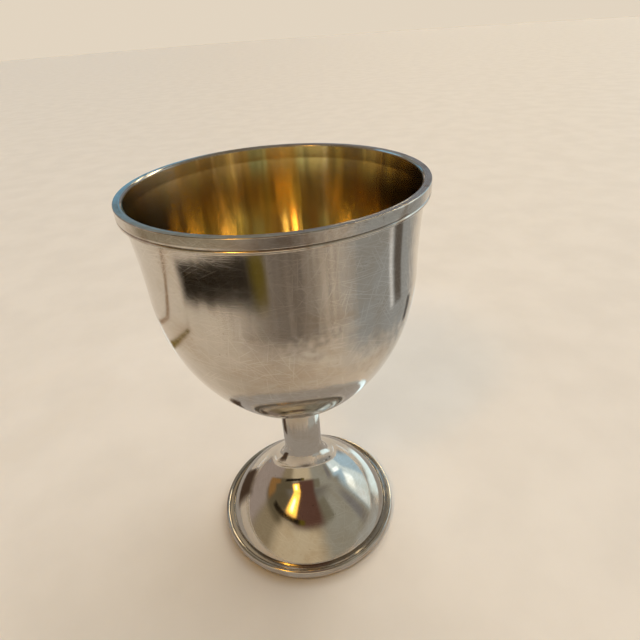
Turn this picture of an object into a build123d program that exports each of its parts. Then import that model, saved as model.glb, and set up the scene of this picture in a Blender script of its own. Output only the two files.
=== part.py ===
from build123d import *
import math
import os

# Communion chalice: a gilt-lined silver cup that screws onto a hollow trumpet foot.
# Millimetres, +Z up, origin at the centre of the circle that the foot stands on.

# Overall
total_height = 127.9
rim_radius = 40.0

# Bowl: a round cap, a fuller side up to the equator, then a wall that opens to an upright lip
bowl_radius = 37.4
bowl_depth = 48.3
bowl_bottom = 55.1
bowl_cap_radius = 30.0
bowl_wall = 0.7
lip_radius = 38.6
lip_bevel = 0.35

# Gilding inside the bowl, thickened to a skin; it stops a little below the bevel
gilt_thickness = 0.1
gilt_drop = 0.55

# Wires round the lip
band_height = 2.7
band_chamfer = 0.15
band_round = 0.3
rim_bead_height = 1.1
rim_bead_reach = 40.0

# Foot: slim stem, concave flare, convex dome, soft edge, narrow flange
stem_radius = 6.6
foot_wall = 0.8
flare_top = 33.4
flare_radius = 14.7
flare_turn = 57.6
dome_radius = 48.0
dome_turn = 28.0
edge_radius = 1.2
flange_radius = 32.3
flange_top = 2.9
flange_thickness = 0.7

# Wires round the foot
foot_bead_radius = 0.8
foot_bead_centre = 31.6
foot_band_inside = 30.8
foot_band_outside = 32.1
foot_band_bulge = 0.35

# Screw between cup and stem: M8 x 1.25, right-hand, with running clearance
screw_radius = 4.0
screw_pitch = 1.25
screw_turns = 6
thread_clearance = 0.1
flank_angle = 30.0
stud_neck_length = 1.0
stud_neck_relief = 0.15
stud_lead = 0.6
spigot_radius = 3.0
spigot_gap = 0.05
bush_extra = 1.4

# Seat: boss under the bowl, loose washer on the stem
boss_thickness = 1.5
boss_edge = 0.7
boss_cove = 2.4
washer_thickness = 0.4
washer_inset = 0.15
washer_clearance = 0.3

# Levels worked out from the dimensions above
bowl_equator = bowl_bottom + bowl_depth
cap_centre = bowl_bottom + bowl_cap_radius
side_radius = (bowl_radius**2 + bowl_depth**2 - 2 * bowl_depth * bowl_cap_radius) / (
    2 * (bowl_radius - bowl_cap_radius)
)
cap_angle = math.degrees(math.atan2(side_radius - bowl_radius, bowl_equator - cap_centre))
band_bottom = total_height - band_height
lip_start = band_bottom - rim_bead_height
gilt_top = total_height - gilt_drop
boss_bottom = bowl_bottom - boss_thickness
stem_top = boss_bottom - washer_thickness
foot_band_top = flange_top - flange_thickness
bore_radius = stem_radius - foot_wall

# Thread form: a 60 degree vee with a crest an eighth and a root a quarter of the pitch wide
vee_slope = math.tan(math.radians(flank_angle))
crest_half_width = screw_pitch / 16
groove_half_width = screw_pitch / 8
thread_depth = (screw_pitch / 2 - crest_half_width - groove_half_width) / vee_slope
root_radius = screw_radius - thread_depth
neck_radius = root_radius - stud_neck_relief
thread_mouth = screw_radius + thread_clearance
thread_top = boss_bottom - stud_neck_length - washer_thickness
thread_bottom = thread_top - screw_turns * screw_pitch
stud_bottom = thread_bottom - stud_lead
bush_bottom = thread_bottom - bush_extra

os.makedirs("parts", exist_ok=True)


def bowl_curve(inset):
    """Outline of the bowl from its pole to the start of the lip, moved inwards by inset."""
    cap = CenterArc((0, cap_centre), bowl_cap_radius - inset, 270, cap_angle)
    side_centre = (bowl_radius - side_radius, bowl_equator)
    side = CenterArc(side_centre, side_radius - inset, 270 + cap_angle, 90 - cap_angle)
    wall = TangentArc(side @ 1, (lip_radius - inset, lip_start), tangent=(0, 1))
    return cap @ 0, wall @ 1


def foot_curve(inset):
    """Outline of stem, flare and dome from the top down, moved inwards by inset."""
    stem = Line((stem_radius - inset, stem_top), (stem_radius - inset, flare_top))
    flare = JernArc(stem @ 1, stem % 1, flare_radius + inset, flare_turn)
    dome = JernArc(flare @ 1, flare % 1, dome_radius - inset, -dome_turn)
    edge = JernArc(dome @ 1, dome % 1, edge_radius - inset, dome_turn - flare_turn)
    return stem @ 0, edge @ 1


def thread_path(start, end):
    """Right-hand helix about the Z axis from level start to level end."""
    with BuildLine() as path:
        Helix(screw_pitch, end - start, root_radius, center=(0, 0, start))
    return path.line


def thread_section(level, outside, inner_half_width, outer_half_width):
    """Trapezium from the root radius out to outside, centred on the start of a helix at level."""
    with BuildSketch(Plane.XZ.shift_origin((0, 0, level))) as section:
        with BuildLine():
            Polyline(
                (root_radius, -inner_half_width),
                (outside, -outer_half_width),
                (outside, outer_half_width),
                (root_radius, inner_half_width),
                close=True,
            )
        make_face()
    return section.sketch


# bowl: one spun shell with a bevel inside the lip
with BuildPart() as bowl:
    with BuildSketch(Plane.XZ):
        with BuildLine():
            outer_pole, outer_lip = bowl_curve(0)
            inner_pole, inner_lip = bowl_curve(bowl_wall)
            Line(outer_pole, inner_pole)
            Polyline(
                outer_lip,
                (lip_radius, total_height),
                (lip_radius - bowl_wall + lip_bevel, total_height),
                (lip_radius - bowl_wall, total_height - lip_bevel),
                inner_lip,
            )
        make_face()
    revolve(axis=Axis.Z)
bowl.part.label = "bowl"
export_step(bowl.part, "parts/bowl.step")

# gilt_lining: skin over the whole inside of the bowl
with BuildPart() as gilt_lining:
    with BuildSketch(Plane.XZ):
        with BuildLine():
            back_pole, back_lip = bowl_curve(bowl_wall)
            face_pole, face_lip = bowl_curve(bowl_wall + gilt_thickness)
            Line(back_pole, face_pole)
            Polyline(
                back_lip,
                (lip_radius - bowl_wall, gilt_top),
                (lip_radius - bowl_wall - gilt_thickness, gilt_top),
                face_lip,
            )
        make_face()
    revolve(axis=Axis.Z)
gilt_lining.part.label = "gilt_lining"
export_step(gilt_lining.part, "parts/gilt_lining.step")

# rim_band: flat wire round the lip, flush with its top
with BuildPart() as rim_band:
    with BuildSketch(Plane.XZ) as band_section:
        with Locations((lip_radius, band_bottom)):
            Rectangle(rim_radius - lip_radius, band_height, align=(Align.MIN, Align.MIN))
        outer_corners = band_section.vertices().group_by(Axis.X)[-1].sort_by(Axis.Y)
        chamfer(outer_corners[-1], band_chamfer)
        fillet(outer_corners[0], band_round)
    revolve(axis=Axis.Z)
rim_band.part.label = "rim_band"
export_step(rim_band.part, "parts/rim_band.step")

# rim_bead: wire with a half-round front, tucked under the band
with BuildPart() as rim_bead:
    with BuildSketch(Plane.XZ):
        bead_round = rim_bead_height / 2
        with Locations((lip_radius, lip_start)):
            Rectangle(
                rim_bead_reach - bead_round - lip_radius, rim_bead_height, align=(Align.MIN, Align.MIN)
            )
        with Locations((rim_bead_reach - bead_round, lip_start + bead_round)):
            Circle(bead_round)
    revolve(axis=Axis.Z)
rim_bead.part.label = "rim_bead"
export_step(rim_bead.part, "parts/rim_bead.step")

# cup_boss: disc soldered under the bowl, coved out to meet it, with a hole for the stud
with BuildPart() as cup_boss:
    with BuildSketch(Plane.XZ):
        with BuildLine():
            edge_top = (stem_radius, boss_bottom + boss_edge)
            cove = RadiusArc(edge_top, (stem_radius + boss_cove, bowl_bottom + boss_cove), -2 * boss_cove)
            Polyline(
                cove @ 1,
                (spigot_radius, bowl_bottom + boss_cove),
                (spigot_radius, boss_bottom),
                (stem_radius, boss_bottom),
                cove @ 0,
            )
        make_face()
    revolve(axis=Axis.Z)
    with BuildSketch(Plane.XZ):
        with BuildLine():
            pole, lip = bowl_curve(0)
            Polyline(lip, (0, lip_start), pole)
        make_face()
    revolve(axis=Axis.Z, mode=Mode.SUBTRACT)
cup_boss.part.label = "cup_boss"
export_step(cup_boss.part, "parts/cup_boss.step")

# cup_stud: threaded shank with a tapered lead, plain neck, spigot in the boss
with BuildPart() as cup_stud:
    with BuildSketch(Plane.XY.offset(stud_bottom)):
        Circle(screw_radius)
    extrude(amount=thread_top - stud_bottom)
    groove_start = stud_bottom - screw_pitch / 2
    groove_edge = groove_half_width + (thread_mouth - root_radius) * vee_slope
    sweep(
        thread_section(groove_start, thread_mouth, groove_half_width, groove_edge),
        thread_path(groove_start, thread_top + screw_pitch / 2),
        is_frenet=True,
        mode=Mode.SUBTRACT,
    )
    with BuildSketch(Plane.XZ):
        with BuildLine():
            lead_outside = screw_radius + stud_lead
            Polyline(
                (neck_radius, stud_bottom),
                (lead_outside, stud_bottom),
                (lead_outside, stud_bottom + lead_outside - neck_radius),
                close=True,
            )
        make_face()
    revolve(axis=Axis.Z, mode=Mode.SUBTRACT)
    with BuildSketch(Plane.XY.offset(thread_top)):
        Circle(neck_radius)
    extrude(amount=boss_bottom - thread_top)
    with BuildSketch(Plane.XY.offset(boss_bottom)):
        Circle(spigot_radius)
    extrude(amount=boss_thickness - spigot_gap)
cup_stud.part.label = "cup_stud"
export_step(cup_stud.part, "parts/cup_stud.step")

# seat_washer: thin loose ring between the boss and the stem
with BuildPart() as seat_washer:
    with BuildSketch(Plane.XY.offset(stem_top)):
        Circle(stem_radius - washer_inset)
        Circle(screw_radius + washer_clearance, mode=Mode.SUBTRACT)
    extrude(amount=washer_thickness)
seat_washer.part.label = "seat_washer"
export_step(seat_washer.part, "parts/seat_washer.step")

# stem_bush: threaded bush soldered in the top of the stem
with BuildPart() as stem_bush:
    with BuildSketch(Plane.XY.offset(bush_bottom)):
        Circle(bore_radius)
    extrude(amount=stem_top - bush_bottom)
    ridge_start = stud_bottom - 2 * screw_pitch
    ridge_edge = crest_half_width + (thread_mouth - root_radius) * vee_slope
    sweep(
        thread_section(ridge_start, thread_mouth, ridge_edge, crest_half_width),
        thread_path(ridge_start, stem_top + screw_pitch),
        is_frenet=True,
        mode=Mode.SUBTRACT,
    )
    with BuildSketch(Plane.XY.offset(bush_bottom)):
        Circle(root_radius + thread_clearance)
    extrude(amount=stem_top - bush_bottom, mode=Mode.SUBTRACT)
stem_bush.part.label = "stem_bush"
export_step(stem_bush.part, "parts/stem_bush.step")

# trumpet_foot: one spun shell, stem and domed foot, ending in a flange
with BuildPart() as trumpet_foot:
    with BuildSketch(Plane.XZ):
        with BuildLine():
            outer_top, outer_edge = foot_curve(0)
            inner_top, inner_edge = foot_curve(foot_wall)
            Line(outer_top, inner_top)
            Polyline(
                outer_edge,
                (outer_edge.X, flange_top),
                (flange_radius, flange_top),
                (flange_radius, foot_band_top),
                (inner_edge.X, foot_band_top),
                inner_edge,
            )
        make_face()
    revolve(axis=Axis.Z)
trumpet_foot.part.label = "trumpet_foot"
export_step(trumpet_foot.part, "parts/trumpet_foot.step")

# foot_bead: half-round wire on the flange
with BuildPart() as foot_bead:
    with BuildSketch(Plane.XZ):
        with BuildLine():
            arch = CenterArc((foot_bead_centre, flange_top), foot_bead_radius, 0, 180)
            Line(arch @ 0, arch @ 1)
        make_face()
    revolve(axis=Axis.Z)
foot_bead.part.label = "foot_bead"
export_step(foot_bead.part, "parts/foot_bead.step")

# foot_band: bulged ring under the flange, which the chalice stands on
with BuildPart() as foot_band:
    with BuildSketch(Plane.XZ):
        with BuildLine():
            ThreePointArc(
                (foot_band_outside, 0),
                (foot_band_outside + foot_band_bulge, foot_band_top / 2),
                (foot_band_outside, foot_band_top),
            )
            Polyline(
                (foot_band_outside, foot_band_top),
                (foot_band_inside, foot_band_top),
                (foot_band_inside, 0),
                (foot_band_outside, 0),
            )
        make_face()
    revolve(axis=Axis.Z)
foot_band.part.label = "foot_band"
export_step(foot_band.part, "parts/foot_band.step")
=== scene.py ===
import math

import bpy
from mathutils import Matrix, Vector, noise


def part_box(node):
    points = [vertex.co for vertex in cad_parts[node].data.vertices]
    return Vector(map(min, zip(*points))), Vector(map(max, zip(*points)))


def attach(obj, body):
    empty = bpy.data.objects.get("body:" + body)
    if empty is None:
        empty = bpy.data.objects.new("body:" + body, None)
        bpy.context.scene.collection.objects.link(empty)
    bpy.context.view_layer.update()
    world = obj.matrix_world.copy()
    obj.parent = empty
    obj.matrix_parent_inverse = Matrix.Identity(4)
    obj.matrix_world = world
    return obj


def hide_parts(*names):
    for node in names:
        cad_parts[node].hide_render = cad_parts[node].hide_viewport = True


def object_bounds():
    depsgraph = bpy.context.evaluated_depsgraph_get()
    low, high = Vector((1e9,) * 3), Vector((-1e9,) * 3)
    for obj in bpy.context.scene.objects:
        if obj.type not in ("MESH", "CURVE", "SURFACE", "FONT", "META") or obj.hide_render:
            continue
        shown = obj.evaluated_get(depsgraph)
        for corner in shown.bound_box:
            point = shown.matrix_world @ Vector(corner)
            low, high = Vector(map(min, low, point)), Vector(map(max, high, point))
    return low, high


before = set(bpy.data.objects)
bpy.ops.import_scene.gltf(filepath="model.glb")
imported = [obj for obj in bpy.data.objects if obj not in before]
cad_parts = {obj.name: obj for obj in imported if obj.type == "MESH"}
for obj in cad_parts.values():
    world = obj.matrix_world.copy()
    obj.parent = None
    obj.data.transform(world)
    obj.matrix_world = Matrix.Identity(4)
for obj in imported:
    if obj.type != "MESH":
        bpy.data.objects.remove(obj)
cad_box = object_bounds()

MM = 0.001

# Communion chalice: turned silver pieces over the CAD frame, worn silver and gilding, and a
# pale studio. What the metal mirrors is a room made of soft areas of light, and soft cards
# that show only in reflections. Azimuths run from +Y (0 degrees) towards +X (90 degrees).

# Driving dimensions, the same as the CAD part's
bowl_radius = 37.4 * MM
bowl_depth = 48.3 * MM
bowl_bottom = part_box("bowl")[0].z
bowl_cap_radius = 30.0 * MM
bowl_wall = 0.7 * MM
lip_radius = 38.6 * MM
lip_bevel = 0.35 * MM
gilt_thickness = 0.1 * MM
stem_radius = 6.6 * MM
foot_wall = 0.8 * MM
flare_top = 33.4 * MM
flare_radius = 14.7 * MM
flare_turn = 57.6
dome_radius = 48.0 * MM
dome_turn = 28.0
edge_radius = 1.2 * MM
foot_bead_radius = 0.8 * MM
foot_bead_centre = 31.6 * MM
foot_band_bulge = 0.35 * MM

# Levels and radii read from the frame
top = cad_box[1].z
rim_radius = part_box("rim_band")[1].x
band_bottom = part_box("rim_band")[0].z
lip_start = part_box("rim_bead")[0].z
gilt_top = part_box("gilt_lining")[1].z
stem_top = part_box("trumpet_foot")[1].z
flange_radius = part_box("trumpet_foot")[1].x
flange_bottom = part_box("trumpet_foot")[0].z
flange_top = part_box("foot_bead")[0].z
foot_band_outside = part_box("foot_band")[1].x - foot_band_bulge
foot_band_inside = 30.8 * MM
bowl_equator = bowl_bottom + bowl_depth
inner_radius = lip_radius - bowl_wall

# Sides of the turned pieces
cup_sides = 300
lining_sides = 288
foot_sides = 288


# Turned shapes

class Outline:
    """Outline of a turned piece, walked as (radius, height) points in metres."""

    def __init__(self, radius, height, heading, spacing):
        self.at = Vector((radius, height))
        self.heading = math.radians(heading)
        self.spacing = spacing
        self.points = [self.at.copy()]

    def line(self, radius, height):
        """Straight to a point, with points along the way."""
        end = Vector((radius, height))
        run = end - self.at
        steps = max(1, math.ceil(run.length / self.spacing))
        self.points += [self.at + run * (i + 1) / steps for i in range(steps)]
        self.heading = math.atan2(run.y, run.x)
        self.at = end

    def arc(self, radius, turn):
        """Round to the left for a positive turn in degrees, to the right for a negative one."""
        turn = math.radians(turn)
        side = math.copysign(1, turn)
        to_centre = Vector((-math.sin(self.heading), math.cos(self.heading))) * side
        centre = self.at + to_centre * radius
        steps = max(5, math.ceil(radius * abs(turn) / self.spacing))
        for i in range(steps):
            part = Matrix.Rotation(turn * (i + 1) / steps, 2)
            self.points.append(centre + part @ (self.at - centre))
        self.at = self.points[-1].copy()
        self.heading += turn

    def ring(self):
        """Points of an outline that has come back to its start, without the start a second time."""
        return self.points[:-1]


def rounded(points, radius):
    """The closed outline with each sharp corner replaced by a small round."""
    sharp = math.radians(20)
    most_of_edge = 0.45
    steps = 4
    softened = []
    for before, corner, after in zip(points[-1:] + points[:-1], points, points[1:] + points[:1]):
        into = corner - before
        out = after - corner
        turn = into.angle(out, 0)
        if turn < sharp:
            softened.append(corner)
            continue
        reach = min(radius, most_of_edge * into.length, most_of_edge * out.length)
        start = corner - into.normalized() * reach
        end = corner + out.normalized() * reach
        for i in range(steps + 1):
            t = i / steps
            softened.append((1 - t) ** 2 * start + 2 * t * (1 - t) * corner + t**2 * end)
    return softened


def placed(name, data):
    """New object in the scene for a mesh, lamp or camera."""
    made = bpy.data.objects.new(name, data)
    bpy.context.scene.collection.objects.link(made)
    return made


def turned(name, points, sides, wobble):
    """Mesh of the outline turned about the Z axis. wobble(x, y, z) is how far a point goes inwards."""
    on_axis = 0.0001 * MM
    vertices, faces = [], []
    poles = [p.x < on_axis for p in points]
    first = []
    for p, pole in zip(points, poles):
        first.append(len(vertices))
        for i in range(1 if pole else sides):
            angle = 2 * math.pi * i / sides
            x, y = p.x * math.cos(angle), p.x * math.sin(angle)
            if not pole:
                inwards = wobble(x, y, p.y) / p.x
                x, y = x * (1 - inwards), y * (1 - inwards)
            vertices.append((x, y, p.y))
    for k in range(len(points)):
        nxt = (k + 1) % len(points)
        for i in range(sides):
            j = (i + 1) % sides
            corners = [
                first[k] + (0 if poles[k] else i),
                first[k] + (0 if poles[k] else j),
                first[nxt] + (0 if poles[nxt] else j),
                first[nxt] + (0 if poles[nxt] else i),
            ]
            corners = list(dict.fromkeys(corners))
            if len(corners) > 2:
                faces.append(corners)
    mesh = bpy.data.meshes.new(name)
    mesh.from_pydata(vertices, [], faces)
    mesh.shade_smooth()
    return placed(name, mesh)


def hammering(depth, size, seed, stretch=1.0):
    """Soft unevenness left by the hammer, from 0 to depth, with hollows longer upwards by stretch."""
    offset = Vector((seed * 7.3, seed * 3.1, seed * 5.7))

    def inwards(x, y, z):
        place = Vector((x, y, z / stretch)) / size + offset
        wide = noise.noise(place)
        fine = noise.noise(place * 2.3)
        return depth * (0.5 + 0.38 * wide + 0.12 * fine)

    return inwards


# Node helpers

class Nodes:
    """Adds nodes to a tree and links their sockets."""

    def __init__(self, tree):
        self.tree = tree
        tree.nodes.clear()

    def add(self, kind, inputs=None, **settings):
        made = self.tree.nodes.new("ShaderNode" + kind)
        for key, value in settings.items():
            setattr(made, key, value)
        for key, value in (inputs or {}).items():
            self.put(made.inputs[key], value)
        return made

    def put(self, socket, value):
        if isinstance(value, bpy.types.NodeSocket):
            self.tree.links.new(value, socket)
        else:
            socket.default_value = value

    def math(self, operation, *values):
        made = self.add("Math", operation=operation)
        for socket, value in zip(made.inputs, values):
            self.put(socket, value)
        return made.outputs[0]

    def product(self, *values):
        return self.math("MULTIPLY", *values)

    def total(self, *values):
        return self.math("ADD", *values)

    def dot(self, vector, direction):
        made = self.add("VectorMath", {0: vector, 1: direction}, operation="DOT_PRODUCT")
        return made.outputs["Value"]

    def smooth(self, value, low, high, to_low=0.0, to_high=1.0):
        """Soft step from to_low at low to to_high at high."""
        made = self.add("MapRange", interpolation_type="SMOOTHSTEP")
        for key, number in (("Value", value), ("From Min", low), ("From Max", high),
                            ("To Min", to_low), ("To Max", to_high)):
            self.put(made.inputs[key], number)
        return made.outputs["Result"]

    def mix(self, factor, a, b):
        """Colour between a and b. The Mix node's colour sockets are told apart only by number."""
        made = self.add("Mix", data_type="RGBA")
        for number, value in ((0, factor), (6, a), (7, b)):
            self.put(made.inputs[number], value)
        return made.outputs[2]

    def noise(self, place, scale, detail=2.0, roughness=0.5, distortion=0.0):
        inputs = {"Vector": place, "Scale": scale, "Detail": detail,
                  "Roughness": roughness, "Distortion": distortion}
        return self.add("TexNoise", inputs).outputs["Fac"]


def colour(red, green, blue):
    return (red, green, blue, 1.0)


# Surroundings: a dim room with a warm lamp at the near left, and windows at the right and back

def surroundings():
    """World light with soft brighter and darker areas, each at an azimuth and elevation in degrees."""
    world = bpy.data.worlds.new("room")
    bpy.context.scene.world = world
    world.use_nodes = True
    n = Nodes(world.node_tree)
    direction = n.add("TexCoord").outputs["Generated"]
    height = n.math("ARCSINE", n.add("SeparateXYZ", {0: direction}).outputs["Z"])
    light = n.mix(n.smooth(height, 0.0, 1.2), colour(0.20, 0.165, 0.12), colour(0.20, 0.18, 0.15))

    def area(azimuth, elevation, width, rise, tint, soft=0.3):
        """Lays one area over the light so far. soft is how much of its half width and rise fades."""
        nonlocal light
        a = math.radians(azimuth)
        across = n.dot(direction, (math.cos(a), -math.sin(a), 0))
        along = n.dot(direction, (math.sin(a), math.cos(a), 0))
        sideways = n.math("ABSOLUTE", n.math("ARCTAN2", across, along))
        upward = n.math("ABSOLUTE", n.math("SUBTRACT", height, math.radians(elevation)))
        half_width = math.radians(width) / 2
        half_rise = math.radians(rise) / 2
        inside = n.product(
            n.smooth(sideways, half_width * (1 + soft), half_width * (1 - soft)),
            n.smooth(upward, half_rise * (1 + soft), half_rise * (1 - soft)),
        )
        light = n.mix(inside, light, tint)

    # far edge of the table, then the walls and furniture
    area(0, 0, 130, 7, colour(0.58, 0.51, 0.43))
    area(-165, 10, 120, 46, colour(0.70, 0.58, 0.39), soft=0.35)
    area(125, 24, 84, 60, colour(0.40, 0.385, 0.32))
    area(150, 43, 24, 22, colour(0.24, 0.22, 0.16))
    area(104, 20, 12, 34, colour(0.26, 0.25, 0.24), soft=0.6)
    area(-62, 10, 64, 44, colour(0.42, 0.345, 0.30))
    area(-108, 14, 34, 44, colour(0.34, 0.27, 0.17), soft=0.6)
    area(-100, 38, 54, 26, colour(0.15, 0.12, 0.07))
    area(-76, 32, 26, 10, colour(0.34, 0.18, 0.06), soft=0.4)
    area(-174, 50, 54, 36, colour(0.14, 0.07, 0.05), soft=0.25)
    # windows, and the wall between them
    area(64, 16, 54, 42, colour(0.55, 0.76, 0.90), soft=0.25)
    area(75, 12, 30, 30, colour(0.95, 1.12, 1.15), soft=0.2)
    area(77, 23, 16, 10, colour(1.7, 1.9, 1.9), soft=0.4)
    area(84, 10, 12, 12, colour(1.1, 1.25, 1.3), soft=0.4)
    area(-22, 11, 28, 13, colour(0.19, 0.42, 0.60), soft=0.25)
    area(-14, 30, 40, 24, colour(0.27, 0.27, 0.23))
    area(14, 14, 28, 18, colour(0.25, 0.26, 0.29))
    area(-44, 38, 26, 14, colour(0.4, 0.75, 1.05))
    area(-14, 50, 34, 18, colour(0.42, 0.35, 0.25))
    area(26, 46, 26, 8, colour(0.45, 0.85, 1.2))
    # shaded lamp with its bright middle, then three lamps in a row at the back
    area(-139, 50, 22, 22, colour(2.8, 1.5, 0.24))
    area(-138, 48, 7, 11, colour(20.0, 10.0, 1.6), soft=0.4)
    for azimuth in (14, 29, 45):
        area(azimuth, 37, 5, 14, colour(11.0, 9.0, 5.5), soft=0.4)

    background = n.add("Background", {"Color": light, "Strength": 1.0})
    n.add("OutputWorld", {"Surface": background.outputs[0]})


def hide_from(thing, *rays):
    for ray in rays:
        setattr(thing, "visible_" + ray, False)


def reflected_card(name, pairs, tint, soft):
    """Studio card that shows only in reflections, with soft ragged edges, through pairs of points.

    soft is how much of it fades, along the pairs and from the first to the second point of each.
    """
    steps = len(pairs) - 1
    vertices = [point for pair in pairs for point in pair]
    faces, places = [], []
    for i in range(steps):
        faces.append((2 * i, 2 * i + 2, 2 * i + 3, 2 * i + 1))
        places += [(i / steps, 0), ((i + 1) / steps, 0), ((i + 1) / steps, 1), (i / steps, 1)]
    mesh = bpy.data.meshes.new(name)
    mesh.from_pydata(vertices, [], faces)
    across = mesh.uv_layers.new(name="across")
    for loop, place in zip(across.data, places):
        loop.uv = place
    card = placed(name, mesh)
    material = bpy.data.materials.new(name)
    material.use_nodes = True
    n = Nodes(material.node_tree)
    sides = n.add("SeparateXYZ", {0: n.add("TexCoord").outputs["UV"]})
    edges = []
    place = n.add("TexCoord").outputs["Object"]
    for side, fade in zip(("X", "Y"), soft):
        ragged = n.product(n.math("SUBTRACT", n.noise(place, 70.0), 0.5), 0.5 * fade)
        middle = n.total(ragged, 0.5)
        off = n.math("ABSOLUTE", n.math("SUBTRACT", sides.outputs[side], middle))
        edges.append(n.smooth(off, 0.5 - 0.05 * fade, 0.45 - 0.45 * fade))
    light = n.add("Emission", {"Color": colour(*tint), "Strength": 1.0})
    clear = n.add("BsdfTransparent")
    inside = n.product(*edges)
    shader = n.add("MixShader", {0: inside, 1: clear.outputs[0], 2: light.outputs[0]})
    n.add("OutputMaterial", {"Surface": shader.outputs[0]})
    mesh.materials.append(material)
    hide_from(card, "camera", "diffuse", "shadow", "transmission", "volume_scatter")


def above_floor(level):
    """Height of a card that lies on the floor. Cards that overlap lie at different levels."""
    return (0.3 + 0.1 * level) * MM


def curved(name, azimuth, spread, near, far, tint, soft):
    """Card that runs spread degrees round the chalice, between two (radius, height) points."""
    steps = 24
    pairs = []
    for i in range(steps + 1):
        a = math.radians(azimuth + spread * (i / steps - 0.5))
        pairs.append([(r * math.sin(a), r * math.cos(a), h) for r, h in (near, far)])
    reflected_card(name, pairs, tint, soft)


def lying(name, azimuth, spread, near, far, tint, soft, level):
    """Card flat on the floor between two radii."""
    height = above_floor(level)
    curved(name, azimuth, spread, (near, height), (far, height), tint, soft)


def standing(name, azimuth, spread, distance, bottom, height, tint, soft):
    """Upright card round the chalice at a distance from its axis."""
    curved(name, azimuth, spread, (distance, bottom), (distance, bottom + height), tint, soft)


def strip(name, start, end, width, tint, soft, level):
    """Straight narrow card on the floor between two (x, y) points."""
    ends = (Vector(start), Vector(end))
    side = (ends[1] - ends[0]).orthogonal().normalized() * width / 2
    height = above_floor(level)
    pairs = [[(*(p - side), height), (*(p + side), height)] for p in ends]
    reflected_card(name, pairs, tint, soft)


# Materials

def finish_material(name):
    """New material, its nodes, and the place on the piece that its patterns hang on."""
    material = bpy.data.materials.new(name)
    material.use_nodes = True
    n = Nodes(material.node_tree)
    place = n.add("TexCoord").outputs["Object"]
    return material, n, place


def scratches(n, place, direction, spacing, width, seed):
    """One set of nearly parallel hairlines across a direction, of uneven strength and broken up. 0 to 1."""
    bend = 2.5 * MM
    bend_length = 26 * MM
    stroke_length = 6 * MM
    normal = n.add("TexCoord").outputs["Normal"]
    shifted = n.add("VectorMath", {0: place, 1: (seed, seed * 2.0, seed * 3.0)}, operation="ADD").outputs[0]
    wander = n.noise(shifted, 1 / bend_length, detail=1.0)
    across = n.math("DIVIDE", n.dot(place, direction), spacing)
    field = n.total(across, n.product(wander, bend / spacing))

    # Each whole number in the field is one line, with its own luck
    line_number = n.math("FLOOR", field)
    off = n.math("ABSOLUTE", n.math("SUBTRACT", n.math("FRACT", field), 0.5))
    line = n.smooth(off, 0.5 * width / spacing, 0.0)
    own_seed = n.total(line_number, seed * 17.3)
    luck = n.add("TexWhiteNoise", {"W": own_seed}, noise_dimensions="1D")
    kept = n.smooth(luck.outputs["Value"], 0.3, 0.9)

    # Strokes: each line shows only here and there
    stroke = n.add(
        "TexNoise",
        {"Vector": place, "W": n.product(line_number, 2.31), "Detail": 0.0, "Scale": 1 / stroke_length},
        noise_dimensions="4D",
    )
    shown = n.smooth(stroke.outputs["Fac"], 0.45, 0.58)

    # Lines grow wide where the surface faces along the direction, so they end there
    facing = n.math("ABSOLUTE", n.dot(normal, direction))
    slanting = n.smooth(facing, 0.96, 0.85)
    return n.product(n.product(line, kept), n.product(shown, slanting))


def hairlines(n, place, spacing, width, seed, families=9):
    """Hairline scratches: some round the piece, as from turning and drying, the rest all ways."""
    round_the_piece = (0.05, 0.08, 0.995)
    tilts = (25, -40, 62, -15, 48, -70, 8, -55)
    lines = scratches(n, place, round_the_piece, spacing, width, seed)
    for i in range(families - 1):
        azimuth = math.pi * (i + 0.35) / (families - 1)
        tilt = math.radians(tilts[i])
        level = math.cos(tilt)
        direction = (math.cos(azimuth) * level, math.sin(azimuth) * level, math.sin(tilt))
        more = scratches(n, place, direction, spacing * 1.5, width, seed + 1.7 * (i + 1))
        lines = n.math("MAXIMUM", lines, more)
    return lines


def turning_lines(n, place, across, along):
    """Fine level rings left by the lathe, as noise drawn out round the piece."""
    rings = n.add("Mapping", {"Vector": place, "Scale": (across, across, along)})
    return n.noise(rings.outputs["Vector"], 1.0, detail=1.0)


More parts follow.
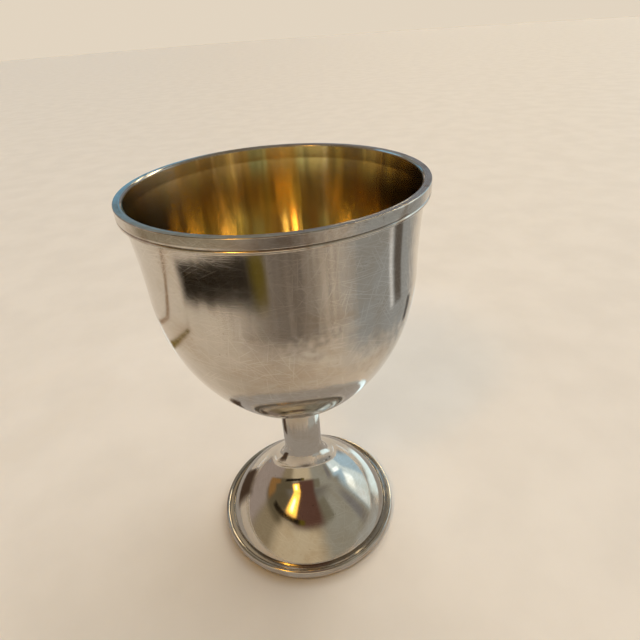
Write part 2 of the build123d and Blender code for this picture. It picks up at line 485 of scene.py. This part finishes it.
def silver(name, film_colour, shine, scratched, cloud=40.0):
    """Worn polished silver: a cloudy film, brown in the crevices, hairline scratches painted lighter as a
    painted sheen, fine turning lines.

    shine is the roughness where it is clean, and cloud the scale of the film's patches.
    """
    material, n, place = finish_material(name)

    # Where each kind of wear lies
    clouds = n.noise(place, cloud, detail=4.0, roughness=0.6, distortion=0.8)
    specks = n.noise(place, 900.0, detail=2.0)
    mottle = n.noise(place, 160.0, detail=3.0, roughness=0.7)
    film = n.smooth(clouds, 0.42, 0.68)
    crevice = n.add("AmbientOcclusion", {"Distance": 1.2 * MM}, samples=8).outputs["AO"]
    grime = n.smooth(crevice, 0.75, 0.25)
    scuffed = n.smooth(n.noise(place, 60.0, detail=3.0), 0.35, 0.6, 0.5, 1.0)
    lines = n.product(hairlines(n, place, 0.55 * MM, 0.24 * MM, 1.0), scuffed)

    base = n.mix(film, clean_silver, film_colour)
    base = n.mix(n.smooth(mottle, 0.5, 0.8, 0.0, 0.5), base, film_colour)
    base = n.mix(n.smooth(specks, 0.68, 0.76, 0.0, 0.25), base, brown_tarnish)
    # Hairlines painted lighter than the metal: a painted sheen where the scratches catch the light
    base = n.mix(n.product(lines, 0.40 * scratched), base, scratch_sheen)
    base = n.mix(n.product(grime, 0.85), base, brown_tarnish)

    rough = n.total(shine, n.product(film, 0.05))
    rough = n.total(rough, n.product(lines, 0.04 * scratched))
    rough = n.total(rough, n.product(grime, 0.25))

    turning = turning_lines(n, place, 50.0, 2200.0)
    height = n.total(n.product(turning, 0.06), n.product(lines, -0.10 * scratched))
    bump = n.add("Bump", {"Height": height, "Strength": 0.10, "Distance": 0.1 * MM})
    shader = n.add(
        "BsdfPrincipled",
        {"Base Color": base, "Metallic": 1.0, "Roughness": rough, "Normal": bump.outputs[0]},
    )
    n.add("OutputMaterial", {"Surface": shader.outputs[0]})
    return material


def gilding(name):
    """Uneven gilding: deep yellow gold, paler and darker in places, with painted upright streaks."""
    material, n, place = finish_material(name)

    # Gold that is paler at the left and darker at the right, by place on the piece
    clouds = n.noise(place, 55.0, detail=4.0, roughness=0.6, distortion=0.6)
    worn = n.smooth(clouds, 0.56, 0.74)
    base = n.mix(worn, colour(0.80, 0.64, 0.31), colour(0.72, 0.61, 0.40))
    sides = n.add("SeparateXYZ", {0: place})
    ragged = n.product(n.math("SUBTRACT", clouds, 0.5), 30 * MM)
    from_middle = n.total(sides.outputs["X"], ragged)
    paler_left = n.smooth(from_middle, -14 * MM, -38 * MM, 0.0, 0.8)
    base = n.mix(paler_left, base, colour(0.52, 0.44, 0.33))
    darker_right = n.smooth(from_middle, 22 * MM, 38 * MM, 0.0, 0.7)
    base = n.mix(darker_right, base, colour(0.50, 0.40, 0.32))

    # Painted streaks, which stand in for reflections of lamps, then specks and hairlines
    upright = n.add("Mapping", {"Vector": place, "Scale": (150.0, 150.0, 9.0)})
    streaks = n.noise(upright.outputs["Vector"], 1.0, detail=2.0)
    base = n.mix(n.smooth(streaks, 0.56, 0.64, 0.0, 0.75), base, colour(1.0, 0.84, 0.48))
    base = n.mix(n.smooth(streaks, 0.44, 0.34, 0.0, 0.5), base, colour(0.62, 0.47, 0.24))
    specks = n.noise(place, 700.0, detail=2.0)
    base = n.mix(n.smooth(specks, 0.66, 0.76, 0.0, 0.4), base, colour(0.42, 0.27, 0.10))
    lines = hairlines(n, place, 1.2 * MM, 0.2 * MM, 4.0, families=4)
    # Hairlines painted a lighter gold: a painted sheen where the scratches catch the light
    base = n.mix(n.product(lines, 0.3), base, colour(1.0, 0.86, 0.55))

    rough = n.total(0.09, n.product(clouds, 0.05))
    rough = n.total(rough, n.product(paler_left, 0.06))
    turning = turning_lines(n, place, 40.0, 1600.0)
    height = n.total(n.product(turning, 0.1), n.product(lines, -0.3))
    bump = n.add("Bump", {"Height": height, "Strength": 0.06, "Distance": 0.1 * MM})

    # The burnishing runs round the bowl, so highlights are drawn out upwards
    tangent = n.add("Tangent", direction_type="RADIAL", axis="Z")
    shader = n.add(
        "BsdfPrincipled",
        {"Base Color": base, "Metallic": 1.0, "Roughness": rough, "Normal": bump.outputs[0],
         "Tangent": tangent.outputs[0], "Anisotropic": 1.0, "Anisotropic Rotation": 0.25},
    )
    n.add("OutputMaterial", {"Surface": shader.outputs[0]})
    return material


clean_silver = colour(0.60, 0.56, 0.505)
scratch_sheen = colour(0.93, 0.89, 0.84)
warm_film = colour(0.53, 0.46, 0.38)
brown_film = colour(0.43, 0.34, 0.26)
brown_tarnish = colour(0.16, 0.10, 0.06)
silver_bowl = silver("bowl_silver", warm_film, shine=0.085, scratched=1.0)
silver_foot = silver("foot_silver", warm_film, shine=0.07, scratched=0.5)
silver_rim = silver("rim_silver", brown_film, shine=0.12, scratched=0.6, cloud=110.0)
silver_foot_wire = silver("foot_wire_silver", warm_film, shine=0.1, scratched=0.6, cloud=90.0)
silver_fitting = silver("fitting_silver", warm_film, shine=0.3, scratched=0.8, cloud=120.0)
gilt = gilding("bowl_gilding")


# Pieces

def piece(node, body, material, points, sides, wobble):
    """A finely turned piece that stands for the CAD node of the same name."""
    made = turned(node + "_skin", points, sides, wobble)
    made.data.materials.append(material)
    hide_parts(node)
    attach(made, body)


# Bowl and its gilding

def bowl_walk(inset, spacing):
    """Outline of the bowl from its pole to the start of the lip, moved inwards by inset."""
    cap_centre = bowl_bottom + bowl_cap_radius
    side_radius = (bowl_radius**2 + bowl_depth**2 - 2 * bowl_depth * bowl_cap_radius) / (
        2 * (bowl_radius - bowl_cap_radius)
    )
    cap_angle = math.degrees(math.atan2(side_radius - bowl_radius, bowl_equator - cap_centre))
    walk = Outline(0, bowl_bottom + inset, 0, spacing)
    walk.arc(bowl_cap_radius - inset, cap_angle)
    walk.arc(side_radius - inset, 90 - cap_angle)
    rise, out = lip_start - bowl_equator, lip_radius - bowl_radius
    wall_radius = (rise**2 + out**2) / (2 * out) + inset
    walk.arc(wall_radius, -math.degrees(math.asin(rise / wall_radius)))
    return walk


def closed(outer, lip, inner):
    """Points along the outer line, across the lip, and back along the inner line."""
    for radius, height in lip:
        outer.line(radius, height)
    return outer.points + inner.points[::-1]


bowl_lip = [
    (lip_radius, top),
    (inner_radius + lip_bevel, top),
    (inner_radius, top - lip_bevel),
]
bowl_points = closed(bowl_walk(0, 0.5 * MM), bowl_lip, bowl_walk(bowl_wall, 2.0 * MM))
bowl_points = rounded(bowl_points, 0.08 * MM)
planished = hammering(0.05 * MM, 11 * MM, 1)
piece("bowl", "cup", silver_bowl, bowl_points, cup_sides, planished)

# The gilding's face has closer points than its hidden back
gilt_back = bowl_walk(bowl_wall, 2.0 * MM)
gilt_lip = [(inner_radius - 0.01 * MM, gilt_top), (inner_radius - gilt_thickness, gilt_top)]
gilt_face = bowl_walk(bowl_wall + gilt_thickness, 0.6 * MM)
gilt_points = rounded(closed(gilt_back, gilt_lip, gilt_face), 0.02 * MM)
fluted = hammering(0.085 * MM, 5.0 * MM, 2, stretch=11.0)
piece("gilt_lining", "cup", gilt, gilt_points, lining_sides, fluted)

# Wires round the lip
band_round = 0.3 * MM
band_chamfer = 0.15 * MM
band = Outline(lip_radius, band_bottom, 0, 0.4 * MM)
band.line(rim_radius - band_round, band_bottom)
band.arc(band_round, 90)
band.line(rim_radius, top - band_chamfer)
band.line(rim_radius - band_chamfer, top)
band.line(lip_radius, top)
band.line(lip_radius, band_bottom)
band_points = rounded(band.ring(), 0.05 * MM)
piece("rim_band", "cup", silver_rim, band_points, cup_sides, hammering(0.04 * MM, 9 * MM, 3))

bead_round = (band_bottom - lip_start) / 2
bead = Outline(lip_radius, lip_start, 0, 0.1 * MM)
bead.line(rim_radius - bead_round, lip_start)
bead.arc(bead_round, 180)
bead.line(lip_radius, band_bottom)
bead.line(lip_radius, lip_start)
bead_points = rounded(bead.ring(), 0.05 * MM)
piece("rim_bead", "cup", silver_rim, bead_points, cup_sides, hammering(0.04 * MM, 7 * MM, 4))

# Foot

def foot_walk(inset, spacing):
    """Outline of stem, flare and dome from the top down, moved inwards by inset."""
    walk = Outline(stem_radius - inset, stem_top, -90, spacing)
    walk.line(stem_radius - inset, flare_top)
    walk.arc(flare_radius + inset, flare_turn)
    walk.arc(dome_radius - inset, -dome_turn)
    walk.arc(edge_radius - inset, dome_turn - flare_turn)
    return walk


foot_outer = foot_walk(0, 0.45 * MM)
foot_inner = foot_walk(foot_wall, 0.9 * MM)
flange = [
    (foot_outer.at.x, flange_top),
    (flange_radius, flange_top),
    (flange_radius, flange_bottom),
    (foot_inner.at.x, flange_bottom),
]
foot_points = rounded(closed(foot_outer, flange, foot_inner), 0.08 * MM)
spun = hammering(0.03 * MM, 12 * MM, 5)
piece("trumpet_foot", "foot", silver_foot, foot_points, foot_sides, spun)

wire = Outline(foot_bead_centre + foot_bead_radius, flange_top, 90, 0.1 * MM)
wire.arc(foot_bead_radius, 180)
wire.line(foot_bead_centre + foot_bead_radius, flange_top)
wire_points = rounded(wire.ring(), 0.04 * MM)
drawn = hammering(0.04 * MM, 7 * MM, 6)
piece("foot_bead", "foot", silver_foot_wire, wire_points, foot_sides, drawn)

half_band = flange_bottom / 2
bulge_radius = (half_band**2 + foot_band_bulge**2) / (2 * foot_band_bulge)
bulge_turn = 2 * math.degrees(math.asin(half_band / bulge_radius))
edge = Outline(foot_band_outside, 0, 90 - bulge_turn / 2, 0.15 * MM)
edge.arc(bulge_radius, bulge_turn)
edge.line(foot_band_inside, flange_bottom)
edge.line(foot_band_inside, 0)
edge.line(foot_band_outside, 0)
edge_points = rounded(edge.ring(), 0.06 * MM)
rolled = hammering(0.04 * MM, 8 * MM, 7)
piece("foot_band", "foot", silver_foot_wire, edge_points, foot_sides, rolled)

# Hidden fittings keep their CAD shapes
for name in ("cup_boss", "cup_stud", "seat_washer", "stem_bush"):
    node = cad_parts[name]
    node.data.materials.clear()
    node.data.materials.append(silver_fitting)


# Floor, backdrop, light and camera

def floor():
    reach = 30.0
    corners = [(-reach, -reach, 0), (reach, -reach, 0), (reach, reach, 0), (-reach, reach, 0)]
    mesh = bpy.data.meshes.new("floor")
    mesh.from_pydata(corners, [], [(0, 1, 2, 3)])
    plane = placed("floor", mesh)
    material, n, place = finish_material("pale_floor")
    shade = n.noise(place, 30.0, detail=4.0)
    base = n.mix(n.smooth(shade, 0.3, 0.7), colour(0.70, 0.67, 0.635), colour(0.74, 0.71, 0.675))
    shader = n.add("BsdfPrincipled", {"Base Color": base, "Roughness": 0.6})
    n.add("OutputMaterial", {"Surface": shader.outputs[0]})
    mesh.materials.append(material)


def backdrop():
    """Pale round wall behind the floor, as bright as the floor, seen only by the camera."""
    sides = 96
    reach = 6.0
    bottom, top_edge = -1.0, 12.0
    vertices = []
    for i in range(sides):
        a = 2 * math.pi * i / sides
        vertices += [(reach * math.cos(a), reach * math.sin(a), h) for h in (bottom, top_edge)]
    faces = [(2 * i, 2 * i + 1, (2 * i + 3) % (2 * sides), (2 * i + 2) % (2 * sides)) for i in range(sides)]
    mesh = bpy.data.meshes.new("backdrop")
    mesh.from_pydata(vertices, [], faces)
    wall = placed("backdrop", mesh)
    material = bpy.data.materials.new("pale_backdrop")
    material.use_nodes = True
    n = Nodes(material.node_tree)
    light = n.add("Emission", {"Color": colour(0.76, 0.66, 0.53), "Strength": 1.0})
    n.add("OutputMaterial", {"Surface": light.outputs[0]})
    mesh.materials.append(material)
    hide_from(wall, "diffuse", "glossy", "shadow", "transmission", "volume_scatter")


def daylight(name, azimuth, elevation, spread, strength, tint):
    """Even light from a wide part of the sky, which isn't itself reflected."""
    lamp = bpy.data.lights.new(name, "SUN")
    lamp.angle = math.radians(spread)
    lamp.energy = strength
    lamp.color = tint
    sky = placed(name, lamp)
    a, e = math.radians(azimuth), math.radians(elevation)
    aim = Vector((-math.sin(a) * math.cos(e), -math.cos(a) * math.cos(e), -math.sin(e)))
    sky.rotation_mode = "QUATERNION"
    sky.rotation_quaternion = aim.to_track_quat("-Z", "Y")
    hide_from(sky, "glossy")


def camera():
    """A phone held over the near side of the chalice, close, looking down and a little to the right."""
    place = (0, -0.12555, 0.16199)
    pan, tilt, roll = (math.radians(a) for a in (4.23, 31.99, -4.10))
    forward = Vector((math.sin(pan) * math.cos(tilt), math.cos(pan) * math.cos(tilt), -math.sin(tilt)))
    right = Vector((math.cos(pan), -math.sin(pan), 0))
    up = right.cross(forward)
    rolled_right = right * math.cos(roll) + up * math.sin(roll)
    rolled_up = up * math.cos(roll) - right * math.sin(roll)
    data = bpy.data.cameras.new("camera")
    data.lens = 27.06
    data.sensor_width = 36.0
    data.clip_start = 0.01
    eye = placed("camera", data)
    turn = Matrix((rolled_right, rolled_up, -forward)).transposed()
    eye.matrix_world = Matrix.Translation(place) @ turn.to_4x4()
    bpy.context.scene.camera = eye


def cards():
    """What the chalice mirrors nearby: things beside it, low edges round the foot, some of them dark cards
    for the shadow beside the foot, shade on the floor.
    """
    beside = 0.10
    standing("dark cloth", -134, 60, beside, 66 * MM, 15 * MM, (0.018, 0.012, 0.006), (0.2, 0.35))
    standing("olive cloth", -163, 16, beside, 66 * MM, 15 * MM, (0.14, 0.10, 0.012), (0.5, 0.35))
    # Dark and brown cards low at the left stand for the shadow on the floor beside the foot: painted shadow
    # in reflections
    standing("dark shadow card", -66, 32, 0.044, -1 * MM, 16 * MM, (0.08, 0.05, 0.032), (0.3, 0.4))
    standing("brown shadow card", -69, 42, 0.0445, -3 * MM, 22 * MM, (0.20, 0.15, 0.11), (0.5, 0.4))
    standing("pale low edge", 116, 60, 0.050, -6 * MM, 16 * MM, (0.50, 0.51, 0.48), (0.5, 0.4))
    standing("window low edge", 66, 60, 0.050, -6 * MM, 18 * MM, (1.15, 1.4, 1.45), (0.4, 0.4))
    lying("shade of the foot", 180, 360, 0.030, 0.056, (0.42, 0.375, 0.325), (0.01, 0.5), 7)
    lying("photographer shade", 179, 124, 0.07, 0.72, (0.165, 0.135, 0.11), (1.0, 0.4), 0)
    # Far table left and cool table right stand for light and shade on the table: painted shade far off at
    # the left, cooler and darker at the right
    lying("far table left", -110, 110, 0.26, 0.70, (0.34, 0.285, 0.20), (0.4, 0.4), 1)
    lying("cool table right", 95, 110, 0.05, 0.60, (0.38, 0.385, 0.37), (0.5, 0.3), 2)
    lying("bright table right", 33, 20, 0.11, 0.20, (0.9, 0.95, 0.95), (0.5, 0.5), 3)
    lying("bright table left", -38, 20, 0.10, 0.19, (0.9, 0.88, 0.82), (0.5, 0.5), 4)
    lying("dark thing right", 62, 9, 0.13, 0.19, (0.10, 0.09, 0.08), (0.4, 0.3), 5)
    lying("brown thing right", 83, 12, 0.18, 0.32, (0.13, 0.11, 0.09), (0.3, 0.3), 6)
    lying("bright thing right", 92, 5, 0.17, 0.32, (0.80, 0.80, 0.78), (0.3, 0.3), 8)
    strip("olive strip", (-0.200, -0.038), (-0.095, 0.100), 0.018, (0.22, 0.15, 0.04), (0.2, 0.5), 9)
    strip("brown strip", (-0.280, -0.010), (-0.115, 0.130), 0.016, (0.34, 0.22, 0.13), (0.2, 0.7), 10)


floor()
backdrop()
surroundings()
daylight("soft daylight", 35, 52, 70, 2.1, (1.0, 0.96, 0.90))
cards()
camera()
bpy.context.scene.view_settings.view_transform = "Standard"
